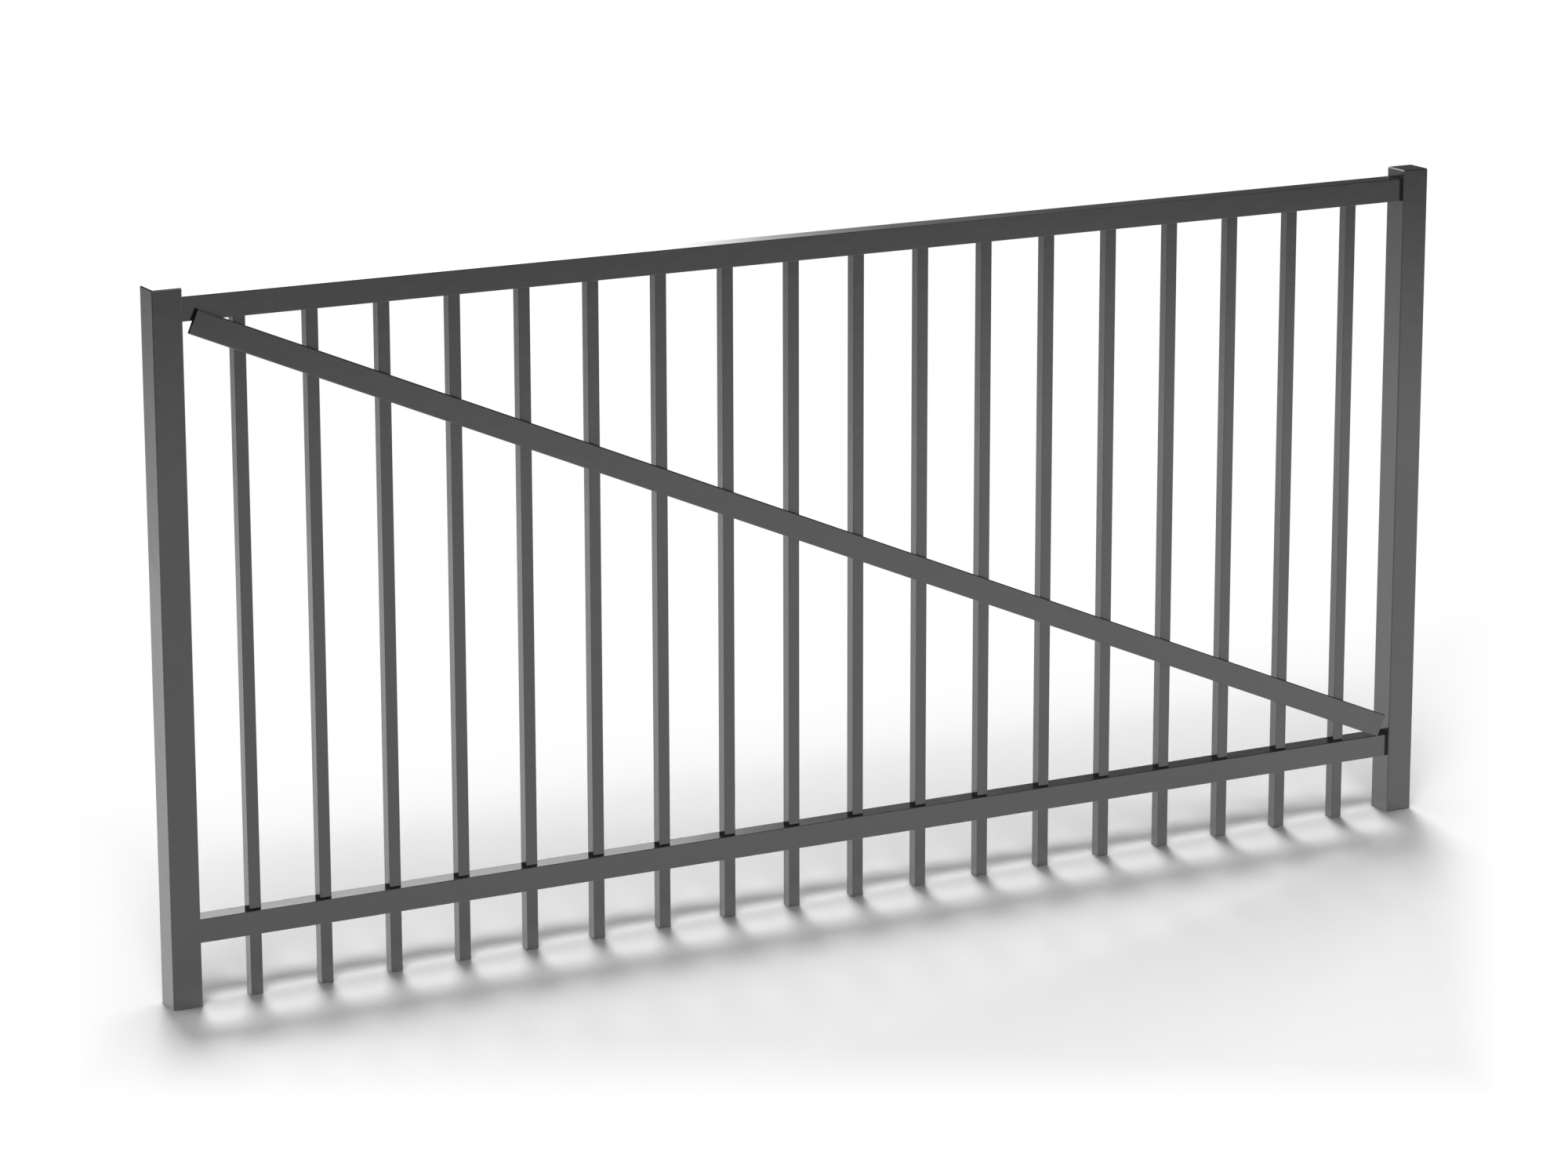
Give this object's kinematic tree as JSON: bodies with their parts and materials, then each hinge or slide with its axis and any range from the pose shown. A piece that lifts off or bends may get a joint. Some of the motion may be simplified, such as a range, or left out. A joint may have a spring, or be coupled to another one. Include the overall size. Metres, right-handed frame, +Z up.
{
  "type": "flat top fence gate",
  "caption": "Flat top fence gate leaf: square pickets through a punched lower rail into a channel top rail, between capped uprights, with a flat diagonal brace.",
  "frame": {"origin": "on the hinge upright's outer face, on its centre line, at the foot of the leaf", "axes": "+X runs along the leaf from the hinge upright to the latch upright, +Z is up, and -Y faces the side that carries the diagonal brace"},
  "size_m": [2.425, 0.0515, 1.183],
  "materials": {
    "black_powder_coat": "satin",
    "spacer_nylon": "matte"
  },
  "bodies": {
    "root": {"hinge_upright": "black_powder_coat", "latch_upright": "black_powder_coat", "hinge_upright_cap": "black_powder_coat", "latch_upright_cap": "black_powder_coat", "top_rail": "black_powder_coat", "bottom_rail": "black_powder_coat", "diagonal_brace": "black_powder_coat", "brace_spacers": "spacer_nylon", "picket_01": "black_powder_coat", "picket_02": "black_powder_coat", "picket_03": "black_powder_coat", "picket_04": "black_powder_coat", "picket_05": "black_powder_coat", "picket_06": "black_powder_coat", "picket_07": "black_powder_coat", "picket_08": "black_powder_coat", "picket_09": "black_powder_coat", "picket_10": "black_powder_coat", "picket_11": "black_powder_coat", "picket_12": "black_powder_coat", "picket_13": "black_powder_coat", "picket_14": "black_powder_coat", "picket_15": "black_powder_coat", "picket_16": "black_powder_coat", "picket_17": "black_powder_coat", "picket_18": "black_powder_coat"}
  },
  "joints": []
}
